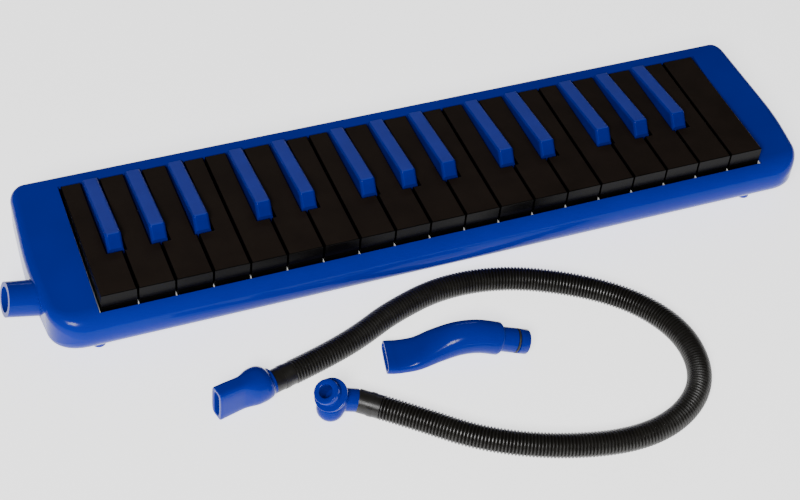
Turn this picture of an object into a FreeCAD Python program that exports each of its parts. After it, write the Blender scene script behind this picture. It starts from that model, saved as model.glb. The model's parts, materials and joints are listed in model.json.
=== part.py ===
"""Melodica with 32 keys, its flexible blowing hose and its short mouthpiece, in millimetres.

X runs along the keyboard from the low notes to the high ones, Y runs from the player's edge to the
rear edge, and Z is up. The origin lies on the table, under the middle of the instrument and the
short mouthpiece in front of it. Heights are measured from the table, which the four feet stand on.
Lengths along Y are given as distances behind `key_front`, the plane of the natural keys' fronts.
"""

import FreeCAD, Part
import math
import os
import re

from FreeCAD import Placement, Rotation, Vector

SIZES = {
    # keyboard
    "natural_count": 19,
    "natural_pitch": 20.3,
    "first_key_x": -184,
    "key_front": -12,
    "key_length": 88,
    "key_gap": 1.2,
    "key_bottom": 32.3,
    "natural_front_top": 47,
    "key_rear_top": 40.3,
    "natural_front_wall": 0.1,
    "notch_depth": 29.9,
    "sharp_width": 9,
    "sharp_side_gap": 0.8,
    "sharp_foot": 31.8,
    "sharp_nose": 37,
    "sharp_foot_top": 44.8,
    "sharp_nose_top": 51.3,
    "sharp_rear_top": 42,
    "f_sharp_shift": -3.5,
    "g_sharp_shift": 0,
    "a_sharp_shift": 3.6,
    "c_sharp_shift": -2.4,
    "d_sharp_shift": 2.4,
    "key_wall": 1.4,
    "key_hollow_end": 72,
    "front_ceiling": 42.5,
    "rear_ceiling": 38.5,
    "boss_start": 60.5,
    "boss_bottom": 27.4,
    "natural_round": 0.7,
    "sharp_round": 1.8,
    # pivot rod, springs and pads
    "pivot_depth": 66,
    "pivot_height": 31,
    "rod_radius": 1.25,
    "rod_play": 0.06,
    "pad_start": 75,
    "pad_length": 12,
    "pad_half_width": 3.6,
    "pad_play": 0.1,
    "leaf_thick": 0.4,
    "leaf_half_width": 1.5,
    # key bed and reed cells
    "bed_left": -190,
    "bed_right": 209,
    "bed_front": 1.5,
    "bed_rear": 89,
    "bed_top": 24.5,
    "bed_bottom": 22.5,
    "block_bottom": 18,
    "block_front": 25,
    "cell_half_width": 3.1,
    "cell_start": 34,
    "cell_end": 85.5,
    "air_hole_start": 77,
    "air_hole_length": 7.5,
    "air_hole_half_width": 2,
    "lip_thick": 0.6,
    "lip_offset": 0.9,
    "lip_top": 35.4,
    "guide_half_thick": 0.25,
    # reeds
    "plate_thick": 1.2,
    "reed_thick": 0.3,
    "reed_longest": 40,
    "reed_step": 0.7,
    "rivet_depth": 37,
    "rivet_radius": 0.9,
    # wind chamber under the bed
    "chamber_wall": 2,
    "chamber_bottom": 10.4,
    "gasket_thick": 0.6,
    # case
    "case_left": -210.5,
    "case_right": 228.5,
    "case_front": -20.9,
    "case_rear": 84.8,
    "case_split": 12,
    "case_bottom": 3,
    "case_wall": 2.2,
    "front_rim_top": 37.2,
    "rear_rim_top": 40,
    "rim_start": 3.5,
    "window_play": 0.2,
    "window_rear": 89,
    "tray_front": 5,
    "tray_rear": 92,
    "tray_left": -203,
    "tray_right": 221,
    "foot_radius": 4.2,
    "foot_peg_radius": 1.5,
    # blow port
    "port_tip_x": -228.2,
    "port_depth": 27.5,
    "port_tip_z": 29,
    "port_tilt": 13.5,
    "port_radius": 9.8,
    "port_tip_radius": 9.5,
    "port_bore_radius": 6.9,
    "port_bore_length": 21,
    "port_flange_radius": 10.6,
    "port_flange_low": 16.6,
    "duct_half_width": 9.2,
    "duct_low": 14.4,
    "duct_high": 17.2,
    # drain valve near the right-hand end
    "drain_x": 200,
    "drain_depth": 55,
    "drain_stem_radius": 1.5,
    # screws
    "screw_radius": 1.4,
    "screw_head_radius": 2.8,
    # hose and loose mouthpiece
    "hose_radius": 6.7,
    "cuff_radius": 6.1,
    "spigot_radius": 6.86,
    "ring_minor": 0.7,
    "ring_radius": 6.87,
}

doc = FreeCAD.newDocument("Melodica")
sheet = doc.addObject("Spreadsheet::Sheet", "Sizes")
for row, (alias, number) in enumerate(SIZES.items(), start=1):
    sheet.set(f"A{row}", alias)
    sheet.set(f"B{row}", str(number))
    sheet.setAlias(f"B{row}", alias)
doc.recompute()

nodes = []


# ---------------------------------------------------------------- helpers


def formula(text):
    """Write a formula of size names as an expression on the spreadsheet."""
    return re.sub(r"[a-z_]+", lambda word: f"Sizes.{word[0]}" if word[0] in SIZES else word[0], str(text))


def value(text):
    """The number that a formula of size names gives, read from the spreadsheet."""
    number = doc.getObject("Sizes").evalExpression(formula(text))
    return float(getattr(number, "Value", number))


def behind(distance):
    """The Y of a plane a distance behind the fronts of the natural keys."""
    return f"(key_front + {distance})"


def place(thing, x, y, z, rotation=None):
    """Put an object at a point given by three formulas."""
    thing.Placement = Placement(Vector(), rotation or Rotation())
    for axis, text in zip("xyz", (x, y, z)):
        thing.setExpression(f".Placement.Base.{axis}", formula(text))
    return thing


def box(label, x, y, z):
    """A box between two formulas along each axis."""
    thing = doc.addObject("Part::Box", label)
    for name, (low, high) in zip(("Length", "Width", "Height"), (x, y, z)):
        thing.setExpression(name, formula(f"({high}) - ({low})"))
    return place(thing, x[0], y[0], z[0])


def cylinder(label, radius, length, x, y, z, rotation=None):
    """A cylinder that starts at a point and runs along Z, or along the turned Z."""
    thing = doc.addObject("Part::Cylinder", label)
    thing.setExpression("Radius", formula(radius))
    thing.setExpression("Height", formula(length))
    return place(thing, x, y, z, rotation)


def cone(label, radius_low, radius_high, length, x, y, z, rotation=None):
    """A cone that starts at a point and runs along Z, or along the turned Z."""
    thing = doc.addObject("Part::Cone", label)
    thing.setExpression("Radius1", formula(radius_low))
    thing.setExpression("Radius2", formula(radius_high))
    thing.setExpression("Height", formula(length))
    return place(thing, x, y, z, rotation)


def cut(label, base, *tools):
    """Take each tool away from the base in turn."""
    for number, tool in enumerate(tools, start=1):
        thing = doc.addObject("Part::Cut", label if number == len(tools) else f"{label}_cut_{number}")
        thing.Base = base
        thing.Tool = tool
        base = thing
    return base


def fuse(label, *parts):
    thing = doc.addObject("Part::MultiFuse", label)
    thing.Shapes = list(parts)
    thing.Refine = True
    return thing


def group(label, *parts):
    """Several separate solids kept as one sub-part."""
    thing = doc.addObject("Part::Compound", label)
    thing.Links = list(parts)
    return thing


def shaped(label, shape):
    """A sub-part whose shape is made with Part's own functions."""
    thing = doc.addObject("Part::Feature", label)
    thing.Shape = shape
    return thing


def rounded(label, base, wanted):
    """Fillet the edges that wanted(edge) gives a radius, or a radius for each end, for."""
    doc.recompute()
    chosen = []
    for number, edge in enumerate(base.Shape.Edges, start=1):
        radii = wanted(edge)
        if radii:
            chosen.append((number, radii[0], radii[1]))
    thing = doc.addObject("Part::Fillet", label)
    thing.Base = base
    thing.Edges = chosen
    return thing


def node(thing, name):
    """Keep a finished object as the sub-part of that name."""
    thing.Label = name
    nodes.append(thing)
    return thing


def outline(corners, height):
    """A closed outline of straight sides and tangent arcs from corners (x, y, radius)."""
    points = [Vector(x, y, height) for x, y, radius in corners]
    arcs = []
    for i, corner in enumerate(corners):
        before = (points[i - 1] - points[i]).normalize()
        after = (points[(i + 1) % len(points)] - points[i]).normalize()
        half_angle = before.getAngle(after) / 2
        reach = corner[2] / math.tan(half_angle)
        apex = (before + after).normalize() * (corner[2] / math.sin(half_angle) - corner[2])
        arcs.append((points[i] + before * reach, points[i] + apex, points[i] + after * reach))
    edges = []
    for i, (start, middle, end) in enumerate(arcs):
        edges.append(Part.Arc(start, middle, end).toShape())
        edges.append(Part.LineSegment(end, arcs[(i + 1) % len(arcs)][0]).toShape())
    return Part.Wire(edges)


def prism(corners, low, high):
    return Part.Face(outline(corners, low)).extrude(Vector(0, 0, high - low))


def rectangle(left, front, right, rear, radius):
    return [(left, rear, radius), (left, front, radius), (right, front, radius), (right, rear, radius)]


ALONG_X = Rotation(Vector(0, 1, 0), 90)
PORT_OUTWARD = Rotation(Vector(0, 1, 0), -90 + value("port_tilt"))


def port_point(distance):
    """A point on the blow port's axis, a distance inward from its open end, as three formulas."""
    return (
        f"port_tip_x + ({distance}) * cos(port_tilt)",
        behind("port_depth"),
        f"port_tip_z - ({distance}) * sin(port_tilt)",
    )


# ---------------------------------------------------------------- layout of the keyboard


def lay_out_keys():
    """The keys in order of pitch, each with its edges as formulas."""
    keys = []
    shifts = {letter: f"{letter.lower()}_sharp_shift" for letter in "FGACD"}
    count = int(SIZES["natural_count"])

    def sharp_edge(index, side):
        letter = "FGABCDE"[index % 7]
        return f"first_key_x + {index + 1} * natural_pitch + {shifts[letter]} + ({side}) * sharp_width / 2"

    def has_sharp(index):
        return 0 <= index < count - 1 and "FGABCDE"[index % 7] in shifts

    for index in range(count):
        letter = "FGABCDE"[index % 7]
        octave = 3 + (index + 3) // 7
        left = f"first_key_x + {index} * natural_pitch + key_gap / 2"
        right = f"first_key_x + {index + 1} * natural_pitch - key_gap / 2"
        keys.append(
            {
                "sharp": False,
                "note": f"{letter.lower()}{octave}",
                "front": (left, right),
                "rear": (
                    f"{sharp_edge(index - 1, 1)} + sharp_side_gap" if has_sharp(index - 1) else left,
                    f"{sharp_edge(index, -1)} - sharp_side_gap" if has_sharp(index) else right,
                ),
            }
        )
        if has_sharp(index):
            edges = (sharp_edge(index, -1), sharp_edge(index, 1))
            note = f"{letter.lower()}_sharp_{octave}"
            keys.append({"sharp": True, "note": note, "front": edges, "rear": edges})
    for number, key in enumerate(keys, start=1):
        key["name"] = f"key_{number:02d}_{key['note']}"
        key["centre"] = f"(({key['rear'][0]}) + ({key['rear'][1]})) / 2"
    return keys


KEYS = lay_out_keys()


# ---------------------------------------------------------------- keys


def slope_cutter(label, low, high, left, right):
    """A box that takes off everything above the plane through two points (distance, height)."""
    run = f"(({high[0]}) - ({low[0]}))"
    rise = f"(({high[1]}) - ({low[1]}))"
    angle = math.degrees(math.atan2(value(rise), value(run)))
    spread = 60 if abs(angle) < 30 else 0
    thing = box(label, (f"{left} - 1", f"{right} + 1"), (0, 160), (0, 60))
    direction = Vector(0, math.cos(math.radians(angle)), math.sin(math.radians(angle)))
    place(
        thing,
        f"{left} - 1",
        f"{behind(low[0])} - {spread * direction.y}",
        f"{low[1]} - ({spread * direction.z})",
        Rotation(Vector(1, 0, 0), angle),
    )
    return thing


def key_blank(key):
    """The outside of a key: its finger plate, its rear arm and the boss round the pivot."""
    name = key["name"]
    rear_x = key["rear"]
    top = "sharp_nose_top + 1" if key["sharp"] else "natural_front_top + 1"
    start = "sharp_foot" if key["sharp"] else "notch_depth - 1"
    arm = box(f"{name}_arm", rear_x, (behind(start), behind("key_length")), ("key_bottom", top))
    boss_y = (behind("boss_start"), behind("key_length"))
    boss = box(f"{name}_boss", rear_x, boss_y, ("boss_bottom", "key_bottom + 1"))
    if key["sharp"]:
        body = fuse(f"{name}_body", arm, boss)
        nose = ("sharp_nose", "sharp_nose_top")
        top_cut = slope_cutter(f"{name}_top", nose, ("key_length", "sharp_rear_top"), *rear_x)
        nose_cut = slope_cutter(f"{name}_nose", ("sharp_foot", "sharp_foot_top"), nose, *rear_x)
        return cut(f"{name}_blank", body, top_cut, nose_cut)
    front_y = (behind("natural_front_wall"), behind("notch_depth"))
    plate = box(f"{name}_plate", key["front"], front_y, ("key_bottom", top))
    body = fuse(f"{name}_body", plate, arm, boss)
    front_edge = ("0", "natural_front_top")
    top_cut = slope_cutter(f"{name}_top", front_edge, ("key_length", "key_rear_top"), *key["front"])
    return cut(f"{name}_blank", body, top_cut)


def top_edge_radius(key):
    """Which edges of a key are rounded: those round the top face, but not at its rear end."""
    floor = value("sharp_foot_top") - 4 if key["sharp"] else value("key_rear_top") - 0.5
    rear = value(behind("key_length")) - 0.5
    radius = value("sharp_round") if key["sharp"] else value("natural_round")
    foot = value(behind("sharp_foot")) + 0.5

    def wanted(edge):
        ends = [vertex.Point for vertex in edge.Vertexes]
        at_rear = all(end.y > rear for end in ends)
        at_foot = key["sharp"] and all(end.y < foot for end in ends)
        if min(end.z for end in ends) < floor or at_rear or at_foot:
            return None
        return (radius, radius)

    return wanted


def key_hollows(key, skin):
    """Open the underside of a key as a channel and bore it for the pivot rod."""
    name = key["name"]
    tools = []
    inner = (f"{key['rear'][0]} + key_wall", f"{key['rear'][1]} - key_wall")
    arm_start = "sharp_foot + key_wall" if key["sharp"] else "notch_depth - key_wall"
    if not key["sharp"]:
        tools.append(
            box(
                f"{name}_front_hollow",
                (f"{key['front'][0]} + key_wall", f"{key['front'][1]} - key_wall"),
                (behind("natural_front_wall + key_wall"), behind("notch_depth - key_wall")),
                ("boss_bottom - 1", "front_ceiling"),
            )
        )
    tools.append(
        box(
            f"{name}_arm_hollow",
            inner,
            (behind(arm_start), behind("key_hollow_end")),
            ("boss_bottom - 1", "rear_ceiling"),
        )
    )
    tools.append(
        cylinder(
            f"{name}_pivot_hole",
            "rod_radius + rod_play",
            f"{key['rear'][1]} - ({key['rear'][0]}) + 2",
            f"{key['rear'][0]} - 1",
            behind("pivot_depth"),
            "pivot_height",
            ALONG_X,
        )
    )
    return cut(f"{name}_lever", skin, *tools)


def build_keys():
    """Each key is its lever and, under the rear end, the soft pad that closes its air hole."""
    blanks = [key_blank(key) for key in KEYS]
    doc.recompute()
    for key, blank in zip(KEYS, blanks):
        skin = doc.addObject("Part::Fillet", f"{key['name']}_skin")
        skin.Base = blank
        wanted = top_edge_radius(key)
        numbered = enumerate(blank.Shape.Edges, start=1)
        skin.Edges = [(number, *wanted(edge)) for number, edge in numbered if wanted(edge)]
        pad = box(
            f"{key['name']}_pad",
            (f"{key['centre']} - pad_half_width", f"{key['centre']} + pad_half_width"),
            (behind("pad_start"), behind("pad_start + pad_length")),
            ("bed_top + pad_play", "boss_bottom"),
        )
        node(group(key["name"], key_hollows(key, skin), pad), key["name"])


def build_springs():
    """One bent steel leaf under each key, from the key bed up to the ceiling of the key's channel."""
    leaves = []
    high = value("rear_ceiling") - 0.1
    low = value("bed_top")
    thick = value("leaf_thick")
    for key in KEYS:
        side = [
            (60, low),
            (60, low + thick),
            (54.2, low + thick),
            (35.4, high),
            (34, high),
            (34, high - thick),
            (35.1, high - thick),
            (53.8, low),
        ]
        left = value(f"{key['centre']} - leaf_half_width")
        points = [Vector(left, value(behind(distance)), height) for distance, height in side]
        face = Part.Face(Part.makePolygon(points + points[:1]))
        leaves.append(shaped(f"leaf_{key['note']}", face.extrude(Vector(value("2 * leaf_half_width"), 0, 0))))
    node(group("key_springs", *leaves), "key_springs")


# ---------------------------------------------------------------- key bed, reeds and wind chamber


BED_X = ("bed_left", "bed_right")
SCREWS_TO_BED = [(x, 16) for x in (-168, -48, 72, 192)]
SCREWS_TO_CASE = [(x, distance) for x in (-195.4, 213.9) for distance in (14, 74)]


def build_bed():
    """White key bed: plate with a hole under each pad, posts for the rod, a lip round the keys,
    guides between the naturals and the block of reed cells."""
    parts = [
        box("bed_plate", BED_X, (behind("-bed_front"), behind("bed_rear")), ("bed_bottom", "bed_top")),
        box("cell_block", BED_X, (behind("block_front"), behind("bed_rear")), ("block_bottom", "bed_bottom")),
    ]
    left = "first_key_x - lip_offset + window_play"
    right = "first_key_x + natural_count * natural_pitch + lip_offset - window_play"
    lip_z = ("bed_top", "lip_top")
    side_y = (behind("-bed_front"), behind("84"))
    front_y = (behind("-bed_front"), behind("lip_thick - bed_front"))
    parts.append(box("lip_front", (left, right), front_y, lip_z))
    parts.append(box("lip_left", (left, f"{left} + lip_thick"), side_y, lip_z))
    parts.append(box("lip_right", (f"{right} - lip_thick", right), side_y, lip_z))
    for index in range(1, SIZES["natural_count"]):
        gap = f"first_key_x + {index} * natural_pitch"
        guide_x = (f"{gap} - guide_half_thick", f"{gap} + guide_half_thick")
        parts.append(box(f"guide_{index}", guide_x, (behind("lip_thick - bed_front"), behind("2.5")), lip_z))
    for key in KEYS:
        if not key["sharp"]:
            post_x = (f"{key['centre']} - 1.5", f"{key['centre']} + 1.5")
            post_y = (behind("pivot_depth - 2.5"), behind("pivot_depth + 2.5"))
            parts.append(box(f"post_{key['note']}", post_x, post_y, ("bed_top", "pivot_height + 2.5")))
    for number, (x, distance) in enumerate(SCREWS_TO_BED, start=1):
        parts.append(cylinder(f"bed_boss_{number}", 4, "bed_bottom - 14", x, behind(distance), 14))
    parts.append(
        box("sharp_stop_rail", ("first_key_x", "first_key_x + natural_count * natural_pitch"),
            (behind("31"), behind("37")), ("bed_top", "bed_top + 2.3"))
    )
    solid = fuse("bed_solid", *parts)
    holes = []
    for key in KEYS:
        centre = key["centre"]
        holes.append(
            box(
                f"cell_{key['note']}",
                (f"{centre} - cell_half_width", f"{centre} + cell_half_width"),
                (behind("cell_start"), behind("cell_end")),
                ("block_bottom - 1", "bed_bottom"),
            )
        )
        holes.append(
            box(
                f"air_hole_{key['note']}",
                (f"{centre} - air_hole_half_width", f"{centre} + air_hole_half_width"),
                (behind("air_hole_start"), behind("air_hole_start + air_hole_length")),
                ("bed_bottom", "bed_top + 1"),
            )
        )
    for number, (x, distance) in enumerate(SCREWS_TO_BED, start=1):
        holes.append(cylinder(f"bed_pilot_{number}", "screw_radius", 8, x, behind(distance), 13))
    rod = ("bed_left + 3", behind("pivot_depth"), "pivot_height")
    holes.append(cylinder("rod_seat", "rod_radius", "bed_right - bed_left", *rod, ALONG_X))
    for number, (x, distance) in enumerate(CHAMBER_SCREWS, start=1):
        holes.append(cylinder(f"chamber_pilot_{number}", 1, 6, x, behind(distance), 17.5))
    node(cut("key_bed", solid, group("bed_holes", *holes)), "key_bed")


def build_rod():
    """Steel rod that all the keys turn on, held in the posts of the key bed."""
    length = "natural_count * natural_pitch - key_gap"
    start = ("first_key_x + key_gap / 2", behind("pivot_depth"), "pivot_height")
    rod = cylinder("rod", "rod_radius", length, *start, ALONG_X)
    node(rod, "pivot_rod")


def build_felts():
    """Two felt strips that the keys land on: one for the naturals, one for the sharps."""
    keyboard_x = ("first_key_x + key_gap", "first_key_x + natural_count * natural_pitch - key_gap")
    natural = box("natural_felt", keyboard_x, (behind("3"), behind("10")), ("bed_top", "bed_top + 1.6"))
    sharp = box("sharp_felt", keyboard_x, (behind("31"), behind("37")), ("bed_top + 2.3", "bed_top + 3.8"))
    node(natural, "natural_stop_felt")
    node(sharp, "sharp_stop_felt")


def reed_sizes(number):
    """Half width and length of the slot of a reed, longest and widest for the lowest note."""
    return (f"1.6 - {number} * 0.015", f"reed_longest - {number} * reed_step")


def build_reeds():
    """Two reed plates with a slot for each reed, the reeds under them and their rivets."""
    split = KEYS[16]["rear"][0]
    z = ("block_bottom - plate_thick", "block_bottom")
    plate_y = (behind("30"), behind("86.8"))
    plate_x = {
        "reed_plate_low": ("first_key_x - 0.4", f"{split} - sharp_side_gap"),
        "reed_plate_high": (f"{split}", "first_key_x + natural_count * natural_pitch + 1"),
    }
    reeds = []
    rivets = []
    for label, x in plate_x.items():
        low_notes = label == "reed_plate_low"
        holes = []
        for number, key in enumerate(KEYS):
            if (number < 16) != low_notes:
                continue
            centre = key["centre"]
            half, length = reed_sizes(number)
            slot_x = (f"{centre} - ({half})", f"{centre} + {half}")
            slot_y = (behind("rivet_depth + 3"), behind(f"rivet_depth + 3 + {length}"))
            holes.append(box(f"slot_{key['note']}", slot_x, slot_y, (f"{z[0]} - 1", f"{z[1]} + 1")))
            at = (centre, behind("rivet_depth"))
            holes.append(cylinder(f"rivet_hole_{key['note']}", "rivet_radius + 0.1", 4, *at, f"{z[0]} - 1"))
            base_x = (f"{centre} - 2.4", f"{centre} + 2.4")
            base_y = (behind("rivet_depth - 2.5"), behind("rivet_depth + 3"))
            reed_z = (f"{z[0]} - reed_thick", z[0])
            tongue_x = (f"{centre} - ({half}) + 0.1", f"{centre} + {half} - 0.1")
            tongue_y = (behind("rivet_depth + 2.9"), behind(f"rivet_depth + 2.8 + {length}"))
            reed = fuse(
                f"reed_blank_{key['note']}",
                box(f"reed_base_{key['note']}", base_x, base_y, reed_z),
                box(f"reed_tongue_{key['note']}", tongue_x, tongue_y, reed_z),
            )
            eye = cylinder(f"reed_eye_{key['note']}", "rivet_radius + 0.1", 2, *at, f"{z[0]} - 1.5")
            reeds.append(cut(f"reed_{key['note']}", reed, eye))
            rivets.append(
                fuse(
                    f"rivet_{key['note']}",
                    cylinder(f"rivet_low_head_{key['note']}", 1.5, 0.6, *at, f"{z[0]} - reed_thick - 0.6"),
                    cylinder(f"rivet_shank_{key['note']}", "rivet_radius", 1.9, *at, f"{z[0]} - reed_thick - 0.1"),
                    cylinder(f"rivet_high_head_{key['note']}", 1.5, 0.6, *at, z[1]),
                )
            )
        node(cut(label, box(f"{label}_sheet", x, plate_y, z), group(f"{label}_holes", *holes)), label)
    node(group("reeds", *reeds), "reeds")
    node(group("reed_rivets", *rivets), "reed_rivets")


CHAMBER_SCREWS = [(x, distance) for x in (-100, 20, 140) for distance in (27.5,)] + [(-187.2, 80), (206, 80)]


def build_chamber():
    """Wind chamber under the reeds: a shallow tray, its gasket and its screws."""
    outer_y = (behind("block_front"), behind("bed_rear"))
    top = "block_bottom - gasket_thick"
    inner_x = ("bed_left + chamber_wall", "bed_right - chamber_wall")
    inner_y = (behind("block_front + chamber_wall"), behind("bed_rear - chamber_wall"))
    lugs = []
    gasket_lugs = []
    holes = []
    gasket_holes = []
    screws = []
    floor = "chamber_bottom + 1.6"
    for number, (x, distance) in enumerate(CHAMBER_SCREWS, start=1):
        at = (x, behind(distance))
        lugs.append(cylinder(f"chamber_lug_{number}", 2.4, f"{top} - chamber_bottom", *at, "chamber_bottom"))
        gasket_lugs.append(cylinder(f"gasket_lug_{number}", 2.4, "gasket_thick", *at, top))
        holes.append(cylinder(f"chamber_hole_{number}", 1.2, 12, *at, "chamber_bottom - 1"))
        holes.append(cylinder(f"chamber_sink_{number}", 2, 1.4, *at, "chamber_bottom - 0.2"))
        gasket_holes.append(cylinder(f"gasket_hole_{number}", 1.2, 3, *at, f"{top} - 1"))
        screws.append(
            fuse(
                f"chamber_screw_{number}",
                cylinder(f"chamber_screw_head_{number}", 1.9, 1, *at, "chamber_bottom + 0.2"),
                cylinder(f"chamber_screw_shank_{number}", 1, 10.8, *at, "chamber_bottom + 1.2"),
            )
        )
    tray = cut(
        "chamber_tray",
        box("chamber_outer", BED_X, outer_y, ("chamber_bottom", top)),
        box("chamber_inner", inner_x, inner_y, (floor, f"{top} + 1")),
    )
    duct_y = (behind("port_depth - duct_half_width"), behind("port_depth + duct_half_width"))
    inlet_x = ("bed_left - 1", "bed_left + chamber_wall + 1")
    openings = [
        box("chamber_inlet", inlet_x, duct_y, ("duct_low", "duct_high")),
        cylinder("chamber_drain", 3, 4, "drain_x", behind("drain_depth"), "chamber_bottom - 1"),
    ]
    body = fuse("chamber_body", tray, *lugs)
    node(cut("chamber_cover", body, *holes, *openings), "chamber_cover")
    frame = cut(
        "gasket_frame",
        box("gasket_outer", BED_X, outer_y, (top, "block_bottom")),
        box("gasket_inner", inner_x, inner_y, (f"{top} - 1", "block_bottom + 1")),
    )
    node(cut("chamber_gasket", fuse("gasket_body", frame, *gasket_lugs), *gasket_holes), "chamber_gasket")
    node(group("chamber_screws", *screws), "chamber_screws")


# ---------------------------------------------------------------- case


def case_block(label, inset, low):
    """The outside of the case, or its hollow when inset by the wall: gently bulging ends, a top that
    rises to the rear, and edges rounded widely at the front and less at the ends and the rear."""
    left, right = value("case_left") + inset, value("case_right") - inset
    front, rear = value("case_front") + inset, value("case_rear") - inset
    corners = [
        (left - 0.1, rear, 9 - inset),
        (left - 3.5, 30, 200),
        (left + 1.1, front, 20 - inset),
        (right - 0.7, front, 18 - inset),
        (right + 1.9, 20, 160),
        (right - 4.4, rear, 8 - inset),
    ]
    start = value(behind("rim_start"))
    rise = value("rear_rim_top - front_rim_top")
    slope = math.degrees(math.atan2(rise, value(behind("key_length")) - start))
    above = Part.makeBox(600, 400, 100)
    corner = Vector(-300, start, value("front_rim_top") - inset)
    above.Placement = Placement(corner, Rotation(Vector(1, 0, 0), slope))
    above.translate(above.Placement.Rotation.multVec(Vector(0, -100, 0)))
    block = shaped(f"{label}_block", prism(corners, low, 60).cut(above))

    def edge_radii(is_top):
        end = 5 - inset
        back = 2.5 - inset * 0.85
        nose = (11.4 if is_top else 12.3) - inset

        def wanted(edge):
            ends = [edge.valueAt(edge.FirstParameter), edge.valueAt(edge.LastParameter)]
            on_side = min(p.z for p in ends) > 30 if is_top else max(p.z for p in ends) < low + 0.01
            if not on_side:
                return None
            radii = [nose if p.y < front + 0.5 else back if p.y > rear - 0.5 else end for p in ends]
            return (radii[0], radii[1])

        return wanted

    top_rounded = rounded(f"{label}_top", block, edge_radii(True))
    return rounded(label, top_rounded, edge_radii(False))


def tray_corners(inset):
    front, rear = value(behind("tray_front")), value(behind("tray_rear"))
    left, right = value("tray_left"), value("tray_right")
    return rectangle(left + inset, front + inset, right - inset, rear - inset, 12 - inset)


def build_upper_case():
    """Upper shell with the keyboard window, the hole for the blow port and four screw bosses."""
    wall = value("case_wall")
    split = value("case_split")
    outer = case_block("upper_outside", 0, split)
    inner = case_block("upper_inside", wall, split + wall)
    mouth = shaped("upper_mouth", prism(tray_corners(wall), split - 1, split + wall + 1))
    window = box(
        "window",
        ("first_key_x - lip_offset", "first_key_x + natural_count * natural_pitch + lip_offset"),
        (behind("-bed_front - window_play"), behind("window_rear")),
        (30, 60),
    )
    port_hole = cylinder("port_hole", "port_radius + 0.2", 30, *port_point(32), PORT_OUTWARD)
    shell = cut("upper_shell", outer, inner, mouth, window, port_hole)
    bosses = []
    pilots = []
    for number, (x, distance) in enumerate(SCREWS_TO_CASE, start=1):
        bosses.append(cylinder(f"case_boss_{number}", 4, "front_rim_top - 1.5 - 14", x, behind(distance), 14))
        pilots.append(cylinder(f"case_pilot_{number}", "screw_radius", 9, x, behind(distance), 13))
    node(cut("upper_case", fuse("upper_solid", shell, *bosses), *pilots), "upper_case")


def build_lower_case():
    """Lower tray with screw bosses, seats for the feet and the hole of the drain button."""
    wall = value("case_wall")
    low, high = value("case_bottom"), value("case_split")
    outside = shaped("lower_block", prism(tray_corners(0), low, high))

    def bottom_edges(edge):
        is_bottom = all(vertex.Point.z < low + 0.01 for vertex in edge.Vertexes)
        return (2, 2) if is_bottom else None

    outer = rounded("lower_outside", outside, bottom_edges)
    inner = shaped("lower_inside", prism(tray_corners(wall), low + wall, high + 1))
    shell = cut("lower_shell", outer, inner)
    bosses = []
    holes = []
    for number, (x, distance) in enumerate(SCREWS_TO_BED + SCREWS_TO_CASE, start=1):
        at = (x, behind(distance))
        bosses.append(cylinder(f"lower_boss_{number}", 4, "14 - case_bottom - 1", *at, "case_bottom + 1"))
        holes.append(cylinder(f"lower_clearance_{number}", "screw_radius + 0.2", 14, *at, "case_bottom - 1"))
        holes.append(cylinder(f"lower_sink_{number}", "screw_head_radius + 0.2", 3.4, *at, "case_bottom - 1"))
    for number, (x, distance) in enumerate(FEET, start=1):
        at = (x, behind(distance))
        holes.append(cylinder(f"foot_hole_{number}", "foot_peg_radius", 5, *at, "case_bottom - 1"))
    holes.append(cylinder("drain_button_hole", 4.3, 5, "drain_x", behind("drain_depth"), "case_bottom - 1"))
    node(cut("lower_case", fuse("lower_solid", shell, *bosses), *holes), "lower_case")


FEET = [(x, distance) for x in (-184, 204) for distance in (9.1, 80)]


def build_feet():
    """Four round feet, each with a peg pressed into the floor of the lower case."""
    feet = []
    for number, (x, distance) in enumerate(FEET, start=1):
        at = (x, behind(distance))
        pad = cone(f"foot_pad_{number}", "foot_radius - 0.4", "foot_radius", "case_bottom", *at, 0)
        peg = cylinder(f"foot_peg_{number}", "foot_peg_radius", 4, *at, "case_bottom - 1")
        feet.append(fuse(f"foot_{number}", pad, peg))
    node(group("feet", *feet), "feet")


def build_case_screws():
    """Eight screws from below: four hold the key bed and four hold the upper case."""
    screws = []
    for number, (x, distance) in enumerate(SCREWS_TO_BED + SCREWS_TO_CASE, start=1):
        at = (x, behind(distance))
        head = cylinder(f"case_screw_head_{number}", "screw_head_radius", 1.8, *at, "case_bottom + 0.6")
        slot_y = (behind(f"{distance} - 0.35"), behind(f"{distance} + 0.35"))
        slot = box(f"case_screw_slot_{number}", (f"{x} - 3", f"{x} + 3"), slot_y, (3, 4.2))
        shank = cylinder(f"case_screw_shank_{number}", "screw_radius", 15.6, *at, "case_bottom + 2.2")
        screws.append(cut(f"case_screw_{number}", fuse(f"case_screw_body_{number}", head, shank), slot))
    node(group("case_screws", *screws), "case_screws")


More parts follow.
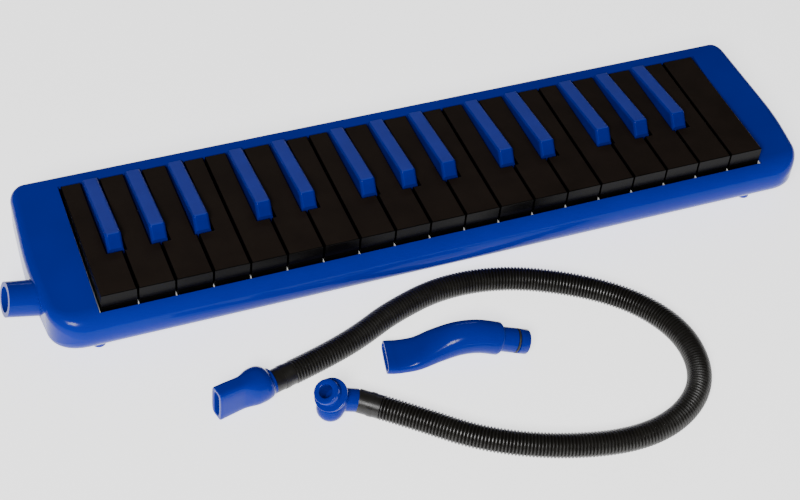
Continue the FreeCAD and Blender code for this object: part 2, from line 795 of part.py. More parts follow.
def build_blow_port():
    """Blow port: a tilted round spigot with a bore for either mouthpiece, a flange inside the case
    and a flat duct that carries the air to the wind chamber."""
    turn = PORT_OUTWARD
    root = port_point("port_bore_length")
    tube = cone("port_tube", "port_radius", "port_tip_radius", "port_bore_length", *root, turn)
    disc = cylinder("port_disc", "port_flange_radius", 2, *port_point("port_bore_length + 2"), turn)
    flat_y = (behind("port_depth - 12"), behind("port_depth + 12"))
    flat_x = ("port_tip_x + port_bore_length - 6", "port_tip_x + port_bore_length + 6")
    flange = cut("port_flange", disc, box("port_flange_flat", flat_x, flat_y, (0, "port_flange_low")))
    duct_y = (behind("port_depth - duct_half_width"), behind("port_depth + duct_half_width"))
    duct_x = ("port_tip_x + port_bore_length + 0.8", "bed_left + chamber_wall")
    duct = box("port_duct", duct_x, duct_y, ("duct_low", "duct_high"))
    bore = cylinder("port_bore", "port_bore_radius", "port_bore_length", *root, turn)
    channel_y = (behind("port_depth - duct_half_width + 0.8"), behind("port_depth + duct_half_width - 0.8"))
    channel_x = ("port_tip_x + port_bore_length - 0.4", "bed_left + 4")
    channel = box("port_channel", channel_x, channel_y, ("duct_low + 0.6", "duct_high - 0.6"))
    drop_y = (behind("port_depth - 4"), behind("port_depth + 4"))
    drop_x = ("port_tip_x + port_bore_length - 2.2", "port_tip_x + port_bore_length + 0.5")
    drop = box("port_drop", drop_x, drop_y, ("duct_low + 0.9", "duct_high + 2"))
    node(cut("blow_port", fuse("port_body", tube, flange, duct), bore, channel, drop), "blow_port")


def build_drain_valve():
    """Drain valve: pushing the button under the case lifts the disc off its seat in the chamber."""
    at = ("drain_x", behind("drain_depth"))
    button = fuse(
        "drain_button_body",
        cylinder("drain_cap", 3.9, 3.9, *at, 1.8),
        cylinder("drain_flange", 5.4, 0.9, *at, "case_bottom + case_wall + 0.1"),
        cylinder("drain_stem", "drain_stem_radius", 8.4, *at, 5),
        cylinder("drain_disc", 4.4, 1, *at, 13),
    )
    node(button, "drain_button")
    seal = cut(
        "drain_seal_ring",
        cylinder("drain_seal_outer", 4.3, 0.8, *at, 12.15),
        cylinder("drain_seal_hole", "drain_stem_radius + 0.05", 4, *at, 11),
    )
    node(seal, "drain_seal")
    coils = [
        cut(
            f"drain_coil_{turn}",
            cylinder(f"drain_coil_outer_{turn}", 4.6, 0.5, *at, f"6.3 + {turn} * 1.1"),
            cylinder(f"drain_coil_inner_{turn}", 3.9, 2, *at, f"6 + {turn} * 1.1"),
        )
        for turn in range(4)
    ]
    ties = [
        box(
            f"drain_tie_{turn}",
            (f"drain_x + {side} * 4.25 - 0.3", f"drain_x + {side} * 4.25 + 0.3"),
            (behind("drain_depth - 0.4"), behind("drain_depth + 0.4")),
            (f"6.7 + {turn} * 1.1", f"7.5 + {turn} * 1.1"),
        )
        for turn, side in ((0, 1), (1, -1), (2, 1))
    ]
    node(fuse("drain_spring", *coils, *ties), "drain_spring")


# ---------------------------------------------------------------- hose and mouthpieces


HOSE_ROUTE = [
    (-94.3, -57.8),
    (-75, -52.9),
    (-52, -45),
    (-30, -34),
    (4, -24.5),
    (42, -28.5),
    (80, -47),
    (106, -69),
    (119.5, -97),
    (115, -127),
    (93, -146.5),
    (62, -153),
    (22, -145),
    (-14, -128.5),
    (-41.5, -105.5),
    (-57, -93.4),
]
CUFF_LENGTH = 13
ELBOW = Vector(-78.3, -83.8, 10)
HEEL = Vector(-82.7, -86.3, 7.7)


def tangent_route(points):
    """Straight runs joined by arcs that each take up 0.45 of the shorter of their two runs."""
    edges = []
    start = points[0]
    radii = []
    for before, corner, after in zip(points, points[1:], points[2:]):
        inward = (before - corner).normalize()
        outward = (after - corner).normalize()
        half_turn = (math.pi - inward.getAngle(outward)) / 2
        reach = 0.45 * min((before - corner).Length, (after - corner).Length)
        radius = reach / math.tan(half_turn)
        apex = (inward + outward).normalize() * (radius / math.cos(half_turn) - radius)
        begin, end = corner + inward * reach, corner + outward * reach
        edges.append(Part.LineSegment(start, begin).toShape())
        edges.append(Part.Arc(begin, corner + apex, end).toShape())
        radii.append(round(radius, 1))
        start = end
    edges.append(Part.LineSegment(start, points[-1]).toShape())
    return Part.Wire(edges), radii


def tube(path, start, direction, radius):
    circle = Part.Wire(Part.makeCircle(radius, start, direction))
    return path.makePipeShell([circle], True, False)


def build_hose():
    """Flexible corrugated hose, lying on the table, with a smooth cuff at each end."""
    radius = value("hose_radius")
    points = [Vector(x, y, radius) for x, y in HOSE_ROUTE]
    path, radii = tangent_route(points)
    shape = tube(path, points[0], points[1] - points[0], radius)
    expected = math.pi * radius**2 * path.Length
    print("hose length", round(path.Length, 1), "radii", radii)
    print("hose volume", round(shape.Volume), "expected", round(expected))
    node(shaped("hose", shape), "hose")
    cuff = value("cuff_radius")
    for name, end, inward in (
        ("hose_cuff_mouth", points[0], points[0] - points[1]),
        ("hose_cuff_plug", points[-1], points[-1] - points[-2]),
    ):
        outward = inward.normalize()
        sleeve = Part.makeCylinder(cuff + 0.3, CUFF_LENGTH, end, outward)
        ridge = Part.makeCylinder(cuff + 0.55, 2.5, end + outward * 4, outward)
        node(shaped(name, sleeve.fuse(ridge).removeSplitter()), name)
    return points


def oval_wire(centre, along, half_width, half_height):
    """A closed oval square to a direction, with its first point at the side."""
    along = Vector(along).normalize()
    sideways = Vector(0, 0, 1).cross(along).normalize()
    upward = along.cross(sideways)
    points = []
    for step in range(12):
        angle = math.radians(30 * step)
        across = sideways * half_width * math.cos(angle)
        points.append(centre + across + upward * half_height * math.sin(angle))
    curve = Part.BSplineCurve()
    curve.interpolate(Points=points, PeriodicFlag=True)
    return Part.Wire(curve.toShape())


def with_between(stations, steps=4):
    """Stations with smooth ones in between, along Catmull-Rom curves through each of their numbers."""
    full = []
    for i in range(len(stations) - 1):
        before = stations[max(i - 1, 0)]
        low, high = stations[i], stations[i + 1]
        after = stations[min(i + 2, len(stations) - 1)]
        for step in range(steps):
            u = step / steps
            row = []
            for a, b, c, d in zip(before, low, high, after):
                square = 2 * a - 5 * b + 4 * c - d
                cube = 3 * (b - c) + d - a
                row.append(b + 0.5 * u * (c - a + u * (square + u * cube)))
            full.append(tuple(row))
    return full + [stations[-1]]


def build_hose_mouthpiece(points):
    """Flat beak for the lips, standing on edge, that swells to a round neck at the hose."""
    outward = (points[0] - points[1]).normalize()
    neck = points[0] + outward * CUFF_LENGTH
    along = Vector(outward.x, outward.y, 0).normalize()
    stations = [
        (0, 7.4, 7.4, 8.2),
        (4, 9.0, 9.1, 9.7),
        (9, 9.6, 10.0, 10.5),
        (14, 8.4, 10.1, 10.5),
        (18, 6.0, 10.1, 10.5),
        (22, 5.2, 10.3, 10.7),
        (33, 5.0, 10.8, 11.1),
    ]

    def station_wire(station, wall):
        distance, half_width, half_height, height = station
        centre = Vector(neck.x, neck.y, 0) + along * distance + Vector(0, 0, height)
        return oval_wire(centre, along, half_width - wall, half_height - wall)

    outer = Part.makeLoft([station_wire(s, 0) for s in with_between(stations)], True, True)
    inner = Part.makeLoft([station_wire(s, 2.2) for s in with_between(stations)], True, True)
    node(shaped("hose_mouthpiece", outer.cut(inner)), "hose_mouthpiece")


def build_connector(points):
    """Elbow plug at the far end of the hose: an arm to the cuff, an elbow with a rounded heel, a
    flange and the grooved plug that fits the blow port."""
    outward = (points[-1] - points[-2]).normalize()
    cuff_end = points[-1] + outward * CUFF_LENGTH
    arm = Part.makeCylinder(6.3, 15, ELBOW, cuff_end - ELBOW)
    cuff_side = Part.makeCylinder(20, CUFF_LENGTH, points[-1], outward)
    elbow = Part.makeSphere(7.1, ELBOW)
    heel = Part.makeSphere(7.5, HEEL)
    web = Part.makeCylinder(7.1, (HEEL - ELBOW).Length, ELBOW, HEEL - ELBOW)
    axis = Vector(-0.5, -0.19, 0.84).normalize()
    neck = Part.makeCylinder(6.9, 7.4, ELBOW, axis)
    flange = Part.makeCylinder(9.2, 2.2, ELBOW + axis * 7.2, axis)
    waist = Part.makeCylinder(6.0, 2.6, ELBOW + axis * 9.2, axis)
    plug = Part.makeCylinder(6.8, 4.3, ELBOW + axis * 11.5, axis)
    bore = Part.makeCylinder(3.7, 16, ELBOW + axis * 2, axis)
    solid = arm.fuse([elbow, heel, web, neck, flange, waist, plug])
    body = solid.cut(cuff_side).cut(bore).removeSplitter()
    node(shaped("hose_connector", body), "hose_connector")


def build_short_mouthpiece():
    """Short mouthpiece on the table: a flat lip end, an arched body that becomes round, and a
    spigot with a sealing ring that fits the blow port."""
    tip = Vector(-42.9, -60.8, 0)
    along = Vector(math.cos(math.radians(-10.85)), math.sin(math.radians(-10.85)), 0)
    stations = [
        (0, 10.3, 3.3, 4.5, -8),
        (8, 10.6, 3.7, 4.0, 0),
        (17, 10.4, 4.7, 5.5, 15),
        (27, 9.9, 6.7, 10.8, 27),
        (38, 9.3, 8.6, 15.0, 13),
        (49, 9.1, 9.1, 15.8, -3),
        (61, 9.0, 9.0, 12.2, -17),
    ]

    def direction(pitch):
        angle = math.radians(pitch)
        return along * math.cos(angle) + Vector(0, 0, math.sin(angle))

    def station_wire(station, wall):
        distance, half_width, half_height, height, pitch = station
        centre = tip + along * distance + Vector(0, 0, height)
        return oval_wire(centre, direction(pitch), half_width - wall, half_height - wall)

    outer = Part.makeLoft([station_wire(s, 0) for s in with_between(stations)], True, True)
    inner = Part.makeLoft([station_wire(s, 1.7) for s in with_between(stations)], True, True)
    shoulder = tip + along * 61 + Vector(0, 0, 12.2)
    axis = direction(-17)
    spigot = Part.makeCylinder(value("spigot_radius"), 17.8, shoulder - axis * 1, axis)
    bore = Part.makeCylinder(4.6, 22, shoulder - axis * 3, axis)
    minor = value("ring_minor")
    middle = shoulder + axis * 10.5
    ring = Part.makeTorus(value("ring_radius") - minor, minor, middle, axis)
    reach = minor + 0.05
    outside = Part.makeCylinder(9, 2 * reach, middle - axis * reach, axis)
    core_radius = value("ring_radius") - minor - reach
    core = Part.makeCylinder(core_radius, 2 * reach, middle - axis * reach, axis)
    end_wall = Part.makeCylinder(8.6, 1.6, shoulder - axis * 1.6, axis)
    body = outer.cut(inner).fuse([spigot, end_wall]).cut(bore).cut(outside.cut(core))
    node(shaped("short_mouthpiece", body), "short_mouthpiece")
    node(shaped("mouthpiece_o_ring", ring), "mouthpiece_o_ring")


# ---------------------------------------------------------------- build and write


def check():
    """Stop on any object that failed or any sub-part without a valid solid."""
    doc.recompute()
    for thing in doc.Objects:
        if {"Invalid", "Error"} & set(thing.State):
            raise RuntimeError(f"{thing.Label} is {thing.State}")
    for thing in nodes:
        shape = thing.Shape
        if shape.isNull() or not shape.isValid() or not shape.Solids:
            raise RuntimeError(f"{thing.Label} has no valid solid")


build_keys()
build_springs()
build_bed()
build_rod()
build_felts()
build_reeds()
build_chamber()
build_upper_case()
build_lower_case()
build_feet()
build_case_screws()
build_blow_port()
build_drain_valve()
hose_points = build_hose()
build_hose_mouthpiece(hose_points)
build_connector(hose_points)
build_short_mouthpiece()
check()

os.makedirs("parts", exist_ok=True)
for thing in nodes:
    thing.Shape.exportStep(f"parts/{thing.Label}.step")
print("sub-parts", len(nodes))
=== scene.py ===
"""Looks of the melodica, its blowing hose and its short mouthpiece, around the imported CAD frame."""

import json
import math

import bmesh
import bpy
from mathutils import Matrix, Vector


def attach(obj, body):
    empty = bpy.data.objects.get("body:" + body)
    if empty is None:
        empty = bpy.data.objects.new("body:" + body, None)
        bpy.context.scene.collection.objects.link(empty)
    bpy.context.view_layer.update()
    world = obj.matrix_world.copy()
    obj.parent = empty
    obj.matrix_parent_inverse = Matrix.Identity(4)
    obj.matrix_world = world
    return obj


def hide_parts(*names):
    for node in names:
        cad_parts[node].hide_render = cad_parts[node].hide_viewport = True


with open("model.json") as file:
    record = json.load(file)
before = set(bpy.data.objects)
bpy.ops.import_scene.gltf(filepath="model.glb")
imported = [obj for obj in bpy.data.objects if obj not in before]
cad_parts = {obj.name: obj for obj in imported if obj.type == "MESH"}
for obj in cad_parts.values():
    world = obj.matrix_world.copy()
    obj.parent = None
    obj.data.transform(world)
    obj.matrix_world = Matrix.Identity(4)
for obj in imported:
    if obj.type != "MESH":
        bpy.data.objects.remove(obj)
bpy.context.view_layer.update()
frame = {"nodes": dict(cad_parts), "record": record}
MM = 0.001

# ---------------------------------------------------------------- camera, floor and light

CAMERA_PLACE = (-0.310434, -0.638797, 0.786983)
CAMERA_TURN = (0.737468, -0.072739, -0.356454)
CAMERA_LENS = 84.94
FLOOR_HALF = 6
FLOOR_DROP = 0.0002
FLOOR_GLOW = 1.6
WORLD_STRENGTH = 0.12
LIGHT_AIM = (0, 0, 0.03)
WHITE = (1, 1, 1, 1)


def make_camera():
    """Camera above the front left, with the long lens of a product photograph."""
    data = bpy.data.cameras.new("camera")
    data.sensor_width = 36
    data.lens = CAMERA_LENS
    data.clip_start = 0.01
    data.clip_end = 50
    camera = bpy.data.objects.new("camera", data)
    camera.location = CAMERA_PLACE
    camera.rotation_euler = CAMERA_TURN
    bpy.context.scene.collection.objects.link(camera)
    bpy.context.scene.camera = camera


def area_light(name, location, size, power):
    """A white rectangular light that points at the middle of the instrument."""
    data = bpy.data.lights.new(name, "AREA")
    data.shape = "RECTANGLE"
    data.size, data.size_y = size
    data.energy = power
    lamp = bpy.data.objects.new(name, data)
    lamp.location = location
    towards = Vector(LIGHT_AIM) - Vector(location)
    lamp.rotation_euler = towards.to_track_quat("-Z", "Y").to_euler()
    bpy.context.scene.collection.objects.link(lamp)


def make_stage():
    """Pale glowing floor just under the feet, a dim white world and two soft lights."""
    mesh = bpy.data.meshes.new("floor")
    half = FLOOR_HALF
    corners = [(-half, -half, 0), (half, -half, 0), (half, half, 0), (-half, half, 0)]
    mesh.from_pydata(corners, [], [(0, 1, 2, 3)])
    floor = bpy.data.objects.new("floor", mesh)
    floor.location.z = -FLOOR_DROP
    bpy.context.scene.collection.objects.link(floor)
    paper = surface(
        "floor_paper",
        dark=(0.9, 0.9, 0.9),
        light=(0.94, 0.94, 0.935),
        smooth=0.75,
        rough=0.85,
        scale=3,
        bump=0.0,
        Specular_IOR_Level=0.1,
        Emission_Strength=FLOOR_GLOW,
    )
    paper.node_tree.nodes["Principled BSDF"].inputs["Emission Color"].default_value = WHITE
    mesh.materials.append(paper)
    world = bpy.data.worlds.new("studio")
    world.use_nodes = True
    background = world.node_tree.nodes["Background"]
    background.inputs["Color"].default_value = WHITE
    background.inputs["Strength"].default_value = WORLD_STRENGTH
    bpy.context.scene.world = world
    area_light("key_light", location=(-0.75, -1.15, 1.25), size=(0.55, 0.45), power=34)
    area_light("rear_light", location=(0.1, 1.6, 0.75), size=(1.6, 0.12), power=3)


# ---------------------------------------------------------------- materials

UP_START, UP_STOP = 0.8, 0.96
DRIFT_START, DRIFT_STOP = 0.3, 0.7


class Nodes:
    """Adds shader nodes to a new material and links them."""

    def __init__(self, name):
        self.material = bpy.data.materials.new(name)
        self.material.use_nodes = True
        self.tree = self.material.node_tree
        self.shader = self.tree.nodes["Principled BSDF"]

    def add(self, kind, inputs=(), **settings):
        node = self.tree.nodes.new(kind)
        for key, setting in settings.items():
            setattr(node, key, setting)
        for key, given in dict(inputs).items():
            self.put(node.inputs[key], given)
        return node

    def put(self, socket, given):
        if isinstance(given, bpy.types.NodeSocket):
            self.tree.links.new(given, socket)
        else:
            socket.default_value = given

    def noise(self, scale, detail, roughness=0.55):
        place = self.add("ShaderNodeTexCoord").outputs["Object"]
        inputs = {"Vector": place, "Scale": scale, "Detail": detail, "Roughness": roughness}
        return self.add("ShaderNodeTexNoise", inputs).outputs["Fac"]

    def span(self, fac, low, high, start=0.0, stop=1.0):
        inputs = {"Value": fac, "From Min": start, "From Max": stop, "To Min": low, "To Max": high}
        return self.add("ShaderNodeMapRange", inputs).outputs["Result"]

    def mix(self, fac, a, b):
        node = self.add("ShaderNodeMix", data_type="RGBA")
        self.put(node.inputs[0], fac)
        for socket, colour in ((node.inputs[6], a), (node.inputs[7], b)):
            self.put(socket, colour if isinstance(colour, bpy.types.NodeSocket) else (*colour, 1))
        return node.outputs[2]

    def bump(self, height, strength, distance):
        inputs = {"Height": height, "Strength": strength, "Distance": distance}
        return self.add("ShaderNodeBump", inputs).outputs["Normal"]

    def facing_up(self):
        """1 on faces that look straight up, falling to 0 on steeper ones."""
        normal = self.add("ShaderNodeTexCoord").outputs["Normal"]
        up = self.add("ShaderNodeSeparateXYZ", {"Vector": normal}).outputs["Z"]
        return self.span(up, 0, 1, UP_START, UP_STOP)

    def finish(self, **inputs):
        for key, given in inputs.items():
            self.put(self.shader.inputs[key.replace("_", " ")], given)
        return self.material


def surface(name, dark, light, smooth, rough, scale, bump, metallic=0.0, **constants):
    """A moulded or rolled surface: soft colour drift, uneven gloss and a fine grain."""
    n = Nodes(name)
    drift = n.noise(scale, 4)
    grain = n.noise(scale * 40, 2)
    colour = n.mix(n.span(drift, 0, 1, DRIFT_START, DRIFT_STOP), dark, light)
    gloss = n.span(n.noise(scale * 3, 3), smooth, rough, DRIFT_START, DRIFT_STOP)
    if bump:
        n.put(n.shader.inputs["Normal"], n.bump(grain, bump, 0.0001))
    n.put(n.shader.inputs["Base Color"], colour)
    n.put(n.shader.inputs["Roughness"], gloss)
    n.put(n.shader.inputs["Metallic"], metallic)
    for key, given in constants.items():
        n.shader.inputs[key.replace("_", " ")].default_value = given
    return n.material


def key_material(name, lit_top_dark, lit_top_light, shaded_side_dark, shaded_side_light, top_rough, side_rough):
    """A key whose upper face is matt and finely textured and whose front and sides are polished, with
    the upper face painted lighter than the front and sides: painted light on the top, painted shade on
    the sides.
    """
    n = Nodes(name)
    up = n.facing_up()
    drift = n.span(n.noise(60, 4), 0, 1, DRIFT_START, DRIFT_STOP)
    texture = n.noise(2600, 2, 0.7)
    scuffs = n.span(n.noise(420, 5, 0.7), 0, 1, 0.62, 0.75)
    # Painted light and shade: faces that look up take the lighter top colour, steeper faces the darker
    # side colour of the same plastic.
    lit_top = n.mix(drift, lit_top_dark, lit_top_light)
    scuffed = tuple(min(1, c * 1.8 + 0.01) for c in lit_top_light)
    lit_top = n.mix(n.span(scuffs, 0, 0.18), lit_top, scuffed)
    shaded_side = n.mix(drift, shaded_side_dark, shaded_side_light)
    uneven = n.span(drift, top_rough, top_rough + 0.1)
    rough = n.add("ShaderNodeMix", {0: up, 2: side_rough, 3: uneven})
    height = n.add("ShaderNodeMath", {0: texture, 1: up}, operation="MULTIPLY").outputs[0]
    return n.finish(
        # The facing-up mask puts the painted-light top colour on upward faces and the painted-shade
        # side colour on the rest.
        Base_Color=n.mix(up, shaded_side, lit_top),
        Roughness=rough.outputs[0],
        Normal=n.bump(height, 0.35, 0.00006),
        IOR=1.17,
    )


def case_material():
    """Polished blue moulded plastic with faint ripples from moulding and a few soft scuffs."""
    n = Nodes("case_gloss")
    drift = n.span(n.noise(14, 3), 0, 1, DRIFT_START, DRIFT_STOP)
    scuffs = n.span(n.noise(300, 6, 0.75), 0, 1, 0.66, 0.8)
    colour = n.mix(drift, (0.0005, 0.0115, 0.25), (0.001, 0.0145, 0.3))
    ripple = n.bump(n.noise(34, 2), 0.12, 0.0004)
    return n.finish(
        Base_Color=n.mix(n.span(scuffs, 0, 0.12), colour, (0.03, 0.07, 0.4)),
        Roughness=n.span(scuffs, 0.2, 0.32),
        Normal=ripple,
        IOR=1.2,
        Coat_Weight=0.06,
        Coat_Roughness=0.08,
    )


def make_materials():
    """One material for each material slot of the part."""
    return {
        "natural_key": key_material(
            "key_black",
            # Top colours painted lighter than side colours: painted light on the top, painted shade on
            # the front and sides.
            lit_top_dark=(0.0105, 0.0066, 0.0045),
            lit_top_light=(0.0155, 0.0102, 0.0073),
            shaded_side_dark=(0.0012, 0.001, 0.0009),
            shaded_side_light=(0.0022, 0.0019, 0.0017),
            top_rough=0.55,
            side_rough=0.22,
        ),
        "sharp_key": key_material(
            "key_blue",
            # Top colours painted lighter than side colours: painted light on the top, painted shade on
            # the front and sides.
            lit_top_dark=(0.022, 0.036, 0.3),
            lit_top_light=(0.027, 0.044, 0.35),
            shaded_side_dark=(0.0, 0.0085, 0.21),
            shaded_side_light=(0.0005, 0.011, 0.25),
            top_rough=0.5,
            side_rough=0.24,
        ),
        "case_blue": case_material(),
        "white_plastic": surface(
            "white_moulding",
            dark=(0.78, 0.78, 0.75),
            light=(0.86, 0.86, 0.84),
            smooth=0.35,
            rough=0.5,
            scale=20,
            bump=0.15,
        ),
        "steel": surface(
            "bright_steel",
            dark=(0.5, 0.5, 0.51),
            light=(0.62, 0.62, 0.63),
            smooth=0.2,
            rough=0.35,
            scale=60,
            bump=0.2,
            metallic=1.0,
        ),
        "felt": surface(
            "red_felt",
            dark=(0.2, 0.015, 0.02),
            light=(0.34, 0.03, 0.035),
            smooth=0.9,
            rough=1.0,
            scale=400,
            bump=1.0,
            Sheen_Weight=0.5,
        ),
        "reed_brass": surface(
            "rolled_brass",
            dark=(0.5, 0.33, 0.12),
            light=(0.66, 0.46, 0.2),
            smooth=0.25,
            rough=0.4,
            scale=80,
            bump=0.2,
            metallic=1.0,
        ),
        "black_rubber": surface(
            "black_rubber",
            dark=(0.008, 0.008, 0.008),
            light=(0.018, 0.018, 0.018),
            smooth=0.5,
            rough=0.65,
            scale=200,
            bump=0.4,
        ),
        "hose_black": surface(
            "hose_black",
            dark=(0.006, 0.005, 0.004),
            light=(0.011, 0.01, 0.008),
            smooth=0.28,
            rough=0.42,
            scale=90,
            bump=0.25,
        ),
    }


def dress_cad(materials):
    """Gives each CAD node the material of its slot."""
    for part in frame["record"]["subparts"]:
        node = frame["nodes"][part["node"]]
        node.data.materials.clear()
        node.data.materials.append(materials[part["material_slot"]])


# ---------------------------------------------------------------- mesh helpers

SHARP_ANGLE = 38
SIDES = 64
HOSE_SIDES = 32


def piece(name, mesh, body, slot, materials, *replaced):
    """A visible piece that rides a body and stands for the CAD nodes it replaces."""
    thing = bpy.data.objects.new(name, mesh)
    bpy.context.scene.collection.objects.link(thing)
    mesh.materials.append(materials[slot])
    mesh.shade_smooth()
    mesh.set_sharp_from_angle(angle=math.radians(SHARP_ANGLE))
    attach(thing, body)
    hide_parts(*replaced)
    return thing


def skin(name, rings):
    """A closed mesh through rings of equal count, each end closed by a fan."""
    count = len(rings[0])
    points = [p for ring in rings for p in ring]
    faces = []
    for i in range(len(rings) - 1):
        near, far = i * count, (i + 1) * count
        for j in range(count):
            k = (j + 1) % count
            faces.append((near + j, near + k, far + k, far + j))
    last = (len(rings) - 1) * count
    for ring, start, flip in ((rings[0], 0, True), (rings[-1], last, False)):
        middle = len(points)
        points.append(sum(ring, Vector()) / count)
        for j in range(count):
            k = (j + 1) % count
            pair = (start + k, start + j) if flip else (start + j, start + k)
            faces.append((*pair, middle))
    mesh = bpy.data.meshes.new(name)
    mesh.from_pydata([tuple(p) for p in points], [], faces)
    mesh.update()
    return mesh


def oval(centre, along, half_width, half_height, count, power=2.0):
    """A ring square to a direction; a power above 2 makes it squarer."""
    along = along.normalized()
    sideways = Vector((0, 0, 1)).cross(along).normalized()
    upward = along.cross(sideways)
    ring = []
    for j in range(count):
        angle = 2 * math.pi * j / count
        c, s = math.cos(angle), math.sin(angle)
        x = math.copysign(abs(c) ** (2 / power), c) * half_width
        y = math.copysign(abs(s) ** (2 / power), s) * half_height
        ring.append(centre + sideways * x + upward * y)
    return ring


def smooth_rows(rows, steps=6):
    """Rows of numbers with smooth ones in between, by Catmull-Rom."""
    full = []
    for i in range(len(rows) - 1):
        before, after = rows[max(i - 1, 0)], rows[min(i + 2, len(rows) - 1)]
        for step in range(steps):
            u = step / steps
            row = []
            for p, q, r, s in zip(before, rows[i], rows[i + 1], after):
                square = 2 * p - 5 * q + 4 * r - s
                cube = 3 * (q - r) + s - p
                row.append(q + 0.5 * u * (r - p + u * (square + u * cube)))
            full.append(tuple(row))
    return full + [tuple(rows[-1])]


# ---------------------------------------------------------------- hose

RIDGE_PITCH = 1.8 * MM
RIDGE_DEPTH = 0.95 * MM
HOSE_RADIUS = 6.7 * MM
CUFF_LENGTH = 13 * MM
HOSE_ROUTE = [
    (-94.3, -57.8),
    (-75, -52.9),
    (-52, -45),
    (-30, -34),
    (4, -24.5),
    (42, -28.5),
    (80, -47),
    (106, -69),
    (119.5, -97),
    (115, -127),
    (93, -146.5),
    (62, -153),
    (22, -145),
    (-14, -128.5),
    (-41.5, -105.5),
    (-57, -93.4),
]


def hose_line():
    """The hose's centre line, read from one NURBS spline whose control points are the route."""
    curve = bpy.data.curves.new("hose_line", "CURVE")
    curve.dimensions = "3D"
    curve.resolution_u = 24
    spline = curve.splines.new("NURBS")
    spline.points.add(len(HOSE_ROUTE) - 1)
    for point, (x, y) in zip(spline.points, HOSE_ROUTE):
        point.co = (x * MM, y * MM, HOSE_RADIUS, 1)
    spline.order_u = 3
    spline.use_endpoint_u = True
    holder = bpy.data.objects.new("hose_line", curve)
    bpy.context.scene.collection.objects.link(holder)
    bpy.context.view_layer.update()
    mesh = bpy.data.meshes.new_from_object(holder)
    line = [v.co.copy() for v in mesh.vertices]
    bpy.data.objects.remove(holder)
    bpy.data.meshes.remove(mesh)
    return line


def walk(line, distances):
    """Points and directions on a line at rising distances from its start."""
    found = []
    index, passed = 0, 0.0
    for distance in distances:
        run = line[index + 1] - line[index]
        while index < len(line) - 2 and passed + run.length < distance:
            passed += run.length
            index += 1
            run = line[index + 1] - line[index]
        share = (distance - passed) / run.length
        ahead = run.normalized()
        before = (line[index] - line[index - 1]).normalized() if index else ahead
        after = (line[min(index + 2, len(line) - 1)] - line[index + 1]).normalized()
        start = (before + ahead).normalized()
        stop = (after + ahead).normalized() if after.length else ahead
        found.append((line[index] + run * share, start.lerp(stop, share).normalized()))
    return found


def make_hose(materials):
    """Corrugated hose along its line. A ridge's profile is pairs of share of pitch and of height."""
    line = hose_line()
    length = sum((b - a).length for a, b in zip(line, line[1:]))
    ridges = round(length / RIDGE_PITCH)
    pitch = length / ridges
    profile = [(0.0, 0.0), (0.2, 0.62), (0.38, 1.0), (0.62, 1.0), (0.8, 0.62)]
    distances = []
    radii = []
    for ridge in range(ridges):
        for share, height in profile:
            distances.append((ridge + share) * pitch)
            radii.append(HOSE_RADIUS - RIDGE_DEPTH * (1 - height))
    distances.append(length - 1e-6)
    radii.append(HOSE_RADIUS - RIDGE_DEPTH)
    rings = [oval(p, d, r, r, HOSE_SIDES) for (p, d), r in zip(walk(line, distances), radii)]
    mesh = skin("corrugated_hose", rings)
    hose = piece("corrugated_hose", mesh, "hose_set", "hose_black", materials, "hose")
    return hose, line


# ---------------------------------------------------------------- beak, elbow plug and short mouthpiece

BORE_RADIUS = 3.7
SPIGOT_RADIUS = 6.86
SPIGOT_PITCH = -17
MOUTHPIECE_HEADING = -10.85


def make_beak(materials, line):
    """Beak on the hose: a bulb at the cuff that flattens to a slot on edge.

    Each row is distance, half width, half height, height and power, in millimetres.
    """
    outward = (line[0] - line[1]).normalized()
    neck = line[0] + outward * CUFF_LENGTH
    neck.z = 0
    outer = [
        (0, 7.3, 7.3, 8.2, 2),
        (1.5, 7.5, 7.5, 8.4, 2),
        (3.2, 8.8, 8.9, 9.5, 2),
        (6, 9.6, 9.8, 10.3, 2.05),
        (9, 9.6, 10.1, 10.5, 2.15),
        (12, 9.0, 10.1, 10.5, 2.3),
        (15, 7.4, 10.1, 10.5, 2.6),
        (17.5, 5.9, 10.1, 10.5, 3.2),
        (20, 5.2, 10.2, 10.6, 3.8),
        (26, 5.0, 10.5, 10.9, 4.2),
        (32.4, 4.9, 10.7, 11.1, 4.4),
    ]
    lip = [(32.9, 4.7, 10.5, 11.1, 4.4), (33.0, 4.4, 10.2, 11.1, 4.4)]
    slot = [
        (33.0, 2.8, 8.8, 11.1, 4),
        (32.8, 2.4, 8.5, 11.1, 4),
        (24, 2.2, 8.0, 10.9, 4),
        (20, 2.2, 7.6, 10.8, 4),
    ]
    rings = []
    for s, w, h, z, power in smooth_rows(outer) + lip + slot:
        centre = neck + outward * s * MM + Vector((0, 0, z * MM))
        rings.append(oval(centre, outward, w * MM, h * MM, SIDES, power))
    mesh = skin("hose_beak", rings)
    return piece("hose_beak", mesh, "hose_set", "case_blue", materials, "hose_mouthpiece")


def turned(start, axis, profile):
    """A closed mesh turned about an axis, from pairs of distance and radius in millimetres."""
    axis = axis.normalized()
    rings = [oval(start + axis * s * MM, axis, r * MM, r * MM, SIDES) for s, r in profile]
    return skin("turned", rings)


def ball(centre, radius):
    """A sphere's mesh, its radius in millimetres."""
    steps = 24
    profile = []
    for step in range(1, steps):
        angle = math.pi * step / steps
        profile.append((-radius * math.cos(angle), radius * math.sin(angle)))
    return turned(centre, Vector((1, 0, 0)), profile)


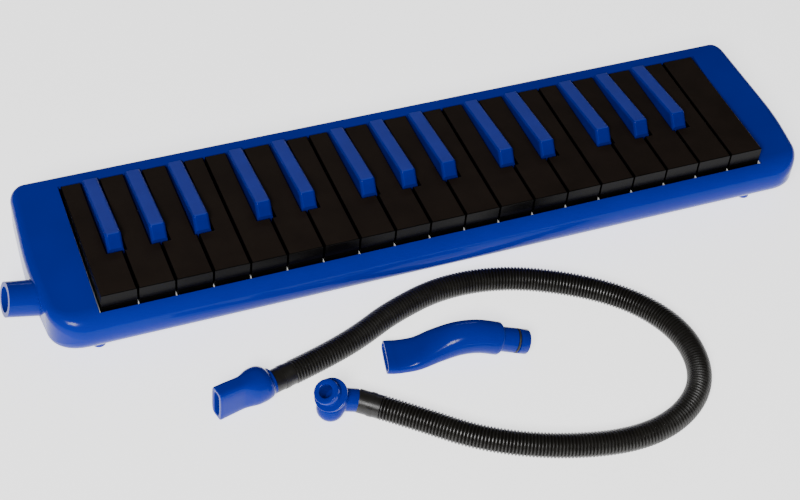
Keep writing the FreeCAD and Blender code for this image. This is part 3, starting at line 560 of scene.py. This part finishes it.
def make_elbow_plug(materials, line):
    """Elbow plug on the hose: arm, elbow with a rounded heel, flange and grooved plug with its bore."""
    outward = (line[-1] - line[-2]).normalized()
    cuff = line[-1] + outward * CUFF_LENGTH
    elbow = Vector((-78.3, -83.8, 10)) * MM
    heel = Vector((-82.7, -86.3, 7.7)) * MM
    arm_length = (elbow - cuff).length / MM
    plug = [
        (0, 6.9),
        (6.4, 6.9),
        (7.0, 7.3),
        (7.2, 8.7),
        (7.4, 9.1),
        (7.7, 9.2),
        (8.9, 9.2),
        (9.2, 9.1),
        (9.4, 8.7),
        (9.5, 6.3),
        (9.8, 6.0),
        (11.3, 6.0),
        (11.5, 6.4),
        (11.8, 6.75),
        (12.1, 6.8),
        (15.2, 6.8),
        (15.6, 6.6),
        (15.8, 6.2),
        (15.8, 4.1),
        (15.6, 3.8),
        (15.2, BORE_RADIUS),
        (3, BORE_RADIUS),
    ]
    shells = [
        turned(cuff, elbow - cuff, [(0, 5.9), (0.3, 6.2), (0.7, 6.3), (arm_length, 6.3)]),
        ball(elbow, 7.1),
        turned(elbow, heel - elbow, [(0, 7.1), ((heel - elbow).length / MM, 7.45)]),
        ball(heel, 7.5),
        turned(elbow, Vector((-0.5, -0.19, 0.84)), plug),
    ]
    joined = bmesh.new()
    for shell in shells:
        joined.from_mesh(shell)
        bpy.data.meshes.remove(shell)
    mesh = bpy.data.meshes.new("elbow_plug")
    joined.to_mesh(mesh)
    joined.free()
    return piece("elbow_plug", mesh, "hose_set", "case_blue", materials, "hose_connector")


def direction(pitch, heading):
    """A unit vector from a pitch above the table and a heading on it, in degrees."""
    pitch, heading = math.radians(pitch), math.radians(heading)
    level = math.cos(pitch)
    return Vector((level * math.cos(heading), level * math.sin(heading), math.sin(pitch)))


def make_short_mouthpiece(materials):
    """Short mouthpiece: flat lip end with its slot, arched body, stepped spigot with a ring groove.

    Each row is distance, half width, half height, height, pitch and power, in millimetres and
    degrees. The spigot's steps are distance and radius.
    """
    along = direction(0, MOUTHPIECE_HEADING)
    tip = Vector((-42.9, -60.8, 0)) * MM
    outer = [
        (0, 10.2, 3.3, 4.4, -8, 4),
        (3, 10.5, 3.5, 4.1, -6, 3.6),
        (8, 10.5, 3.7, 4.0, 0, 3.2),
        (17, 10.3, 4.7, 5.5, 15, 2.8),
        (27, 9.9, 6.7, 10.8, 27, 2.4),
        (38, 9.3, 8.6, 15.0, 13, 2.1),
        (49, 9.1, 9.1, 15.6, -4, 2),
        (60.2, 9.0, 9.0, 12.5, -17, 2),
    ]
    slot = [(14, 8.4, 1.8, 4.9, 8, 4), (0.4, 8.9, 1.9, 4.35, -8, 4), (0, 9.1, 2.2, 4.4, -8, 4)]
    lip = [(-0.1, 9.8, 2.9, 4.4, -8, 4)]
    rings = []
    for s, w, h, z, pitch, power in slot + lip + smooth_rows(outer):
        centre = tip + along * s * MM + Vector((0, 0, z * MM))
        facing = direction(pitch, MOUTHPIECE_HEADING)
        rings.append(oval(centre, facing, w * MM, h * MM, SIDES, power))
    axis = direction(SPIGOT_PITCH, MOUTHPIECE_HEADING)
    shoulder = tip + along * 61 * MM + Vector((0, 0, 12.2 * MM))
    steps = [
        (0.0, 8.5),
        (0.1, 7.0),
        (0.6, SPIGOT_RADIUS),
        (9.4, SPIGOT_RADIUS),
        (9.5, 6.6),
        (9.6, 6.0),
        (11.4, 6.0),
        (11.5, 6.6),
        (11.6, SPIGOT_RADIUS),
        (16.3, SPIGOT_RADIUS),
        (16.7, 6.6),
        (16.8, 6.2),
        (16.8, 5.0),
        (16.6, 4.7),
        (8, 4.6),
        (-3, 4.6),
    ]
    for s, r in steps:
        rings.append(oval(shoulder + axis * s * MM, axis, r * MM, r * MM, SIDES))
    mesh = skin("lip_mouthpiece", rings)
    body = "short_mouthpiece_set"
    return piece("lip_mouthpiece", mesh, body, "case_blue", materials, "short_mouthpiece")


materials = make_materials()
make_camera()
make_stage()
dress_cad(materials)
hose, line = make_hose(materials)
beak = make_beak(materials, line)
elbow_plug = make_elbow_plug(materials, line)
make_short_mouthpiece(materials)
